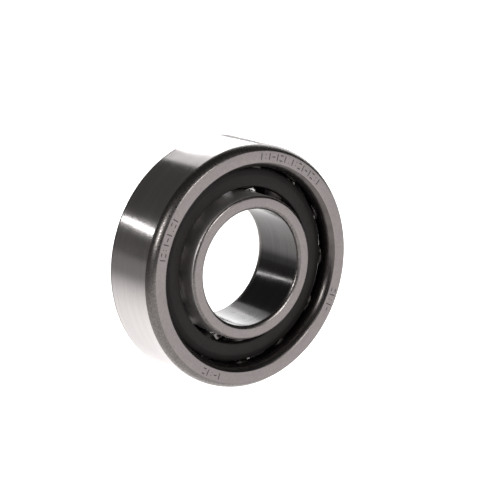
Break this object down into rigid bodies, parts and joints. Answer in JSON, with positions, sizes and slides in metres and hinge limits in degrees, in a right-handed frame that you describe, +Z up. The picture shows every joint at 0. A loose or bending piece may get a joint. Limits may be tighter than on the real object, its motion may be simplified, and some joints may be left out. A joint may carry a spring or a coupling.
{
  "type": "angular contact ball bearing",
  "caption": "Single-row angular contact ball bearing with a window cage, shaft bore and housing seat; the inner ring, cage and balls turn together.",
  "frame": {"origin": "centre of the bore at mid-width, which is the centre of the bounding box", "axes": "+Y along the bearing's axis, from the outer ring's wide (back) face to its relieved (front) face; +Z up, the bearing standing on its rim"},
  "size_m": [0.052, 0.015, 0.052],
  "materials": {
    "ring_steel": "ground and honed bearing steel",
    "ball_steel": "lapped bearing steel",
    "cage_polyamide": "black glass-filled polyamide, moulded"
  },
  "bodies": {
    "outer_ring": {"outer_ring": "ring_steel"},
    "inner_ring": {"inner_ring": "ring_steel"},
    "cage": {"cage": "cage_polyamide"},
    "ball_01": {"ball_01": "ball_steel"},
    "ball_02": {"ball_02": "ball_steel"},
    "ball_03": {"ball_03": "ball_steel"},
    "ball_04": {"ball_04": "ball_steel"},
    "ball_05": {"ball_05": "ball_steel"},
    "ball_06": {"ball_06": "ball_steel"},
    "ball_07": {"ball_07": "ball_steel"},
    "ball_08": {"ball_08": "ball_steel"},
    "ball_09": {"ball_09": "ball_steel"},
    "ball_10": {"ball_10": "ball_steel"},
    "ball_11": {"ball_11": "ball_steel"},
    "ball_12": {"ball_12": "ball_steel"},
    "ball_13": {"ball_13": "ball_steel"}
  },
  "joints": [
    {"name": "inner_ring_spin", "type": "hinge", "parent": "outer_ring", "child": "inner_ring", "pos_m": [0, 0, 0], "axis": [0, 1, 0], "continuous": true},
    {"name": "cage_spin", "type": "hinge", "parent": "outer_ring", "child": "cage", "pos_m": [0, 0, 0], "axis": [0, 1, 0], "continuous": true},
    {"name": "ball_01_spin", "type": "hinge", "parent": "cage", "child": "ball_01", "pos_m": [0.0179, 0, 0.0076], "axis": [0.5917, 0.766, 0.2512], "continuous": true},
    {"name": "ball_02_spin", "type": "hinge", "parent": "cage", "child": "ball_02", "pos_m": [0.01232, 0, 0.01505], "axis": [0.4072, 0.766, 0.4974], "continuous": true},
    {"name": "ball_03_spin", "type": "hinge", "parent": "cage", "child": "ball_03", "pos_m": [0.00392, 0, 0.01905], "axis": [0.1294, 0.766, 0.6296], "continuous": true},
    {"name": "ball_04_spin", "type": "hinge", "parent": "cage", "child": "ball_04", "pos_m": [-0.00539, 0, 0.01869], "axis": [-0.178, 0.766, 0.6176], "continuous": true},
    {"name": "ball_05_spin", "type": "hinge", "parent": "cage", "child": "ball_05", "pos_m": [-0.01345, 0, 0.01405], "axis": [-0.4447, 0.766, 0.4642], "continuous": true},
    {"name": "ball_06_spin", "type": "hinge", "parent": "cage", "child": "ball_06", "pos_m": [-0.01844, 0, 0.00618], "axis": [-0.6094, 0.766, 0.2044], "continuous": true},
    {"name": "ball_07_spin", "type": "hinge", "parent": "cage", "child": "ball_07", "pos_m": [-0.0192, 0, -0.00309], "axis": [-0.6346, 0.766, -0.1023], "continuous": true},
    {"name": "ball_08_spin", "type": "hinge", "parent": "cage", "child": "ball_08", "pos_m": [-0.01556, 0, -0.01166], "axis": [-0.5144, 0.766, -0.3855], "continuous": true},
    {"name": "ball_09_spin", "type": "hinge", "parent": "cage", "child": "ball_09", "pos_m": [-0.00836, 0, -0.01756], "axis": [-0.2763, 0.766, -0.5804], "continuous": true},
    {"name": "ball_10_spin", "type": "hinge", "parent": "cage", "child": "ball_10", "pos_m": [0.00076, 0, -0.01944], "axis": [0.025, 0.766, -0.6423], "continuous": true},
    {"name": "ball_11_spin", "type": "hinge", "parent": "cage", "child": "ball_11", "pos_m": [0.0097, 0, -0.01686], "axis": [0.3206, 0.766, -0.5571], "continuous": true},
    {"name": "ball_12_spin", "type": "hinge", "parent": "cage", "child": "ball_12", "pos_m": [0.01642, 0, -0.01042], "axis": [0.5428, 0.766, -0.3443], "continuous": true},
    {"name": "ball_13_spin", "type": "hinge", "parent": "cage", "child": "ball_13", "pos_m": [0.01938, 0, -0.00159], "axis": [0.6406, 0.766, -0.0526], "continuous": true}
  ],
  "couplings": [
    {"joint": "cage_spin", "follows": "inner_ring_spin", "ratio": 0.42184},
    {"joint": "ball_01_spin", "follows": "inner_ring_spin", "ratio": -2.3904},
    {"joint": "ball_02_spin", "follows": "inner_ring_spin", "ratio": -2.3904},
    {"joint": "ball_03_spin", "follows": "inner_ring_spin", "ratio": -2.3904},
    {"joint": "ball_04_spin", "follows": "inner_ring_spin", "ratio": -2.3904},
    {"joint": "ball_05_spin", "follows": "inner_ring_spin", "ratio": -2.3904},
    {"joint": "ball_06_spin", "follows": "inner_ring_spin", "ratio": -2.3904},
    {"joint": "ball_07_spin", "follows": "inner_ring_spin", "ratio": -2.3904},
    {"joint": "ball_08_spin", "follows": "inner_ring_spin", "ratio": -2.3904},
    {"joint": "ball_09_spin", "follows": "inner_ring_spin", "ratio": -2.3904},
    {"joint": "ball_10_spin", "follows": "inner_ring_spin", "ratio": -2.3904},
    {"joint": "ball_11_spin", "follows": "inner_ring_spin", "ratio": -2.3904},
    {"joint": "ball_12_spin", "follows": "inner_ring_spin", "ratio": -2.3904},
    {"joint": "ball_13_spin", "follows": "inner_ring_spin", "ratio": -2.3904}
  ]
}
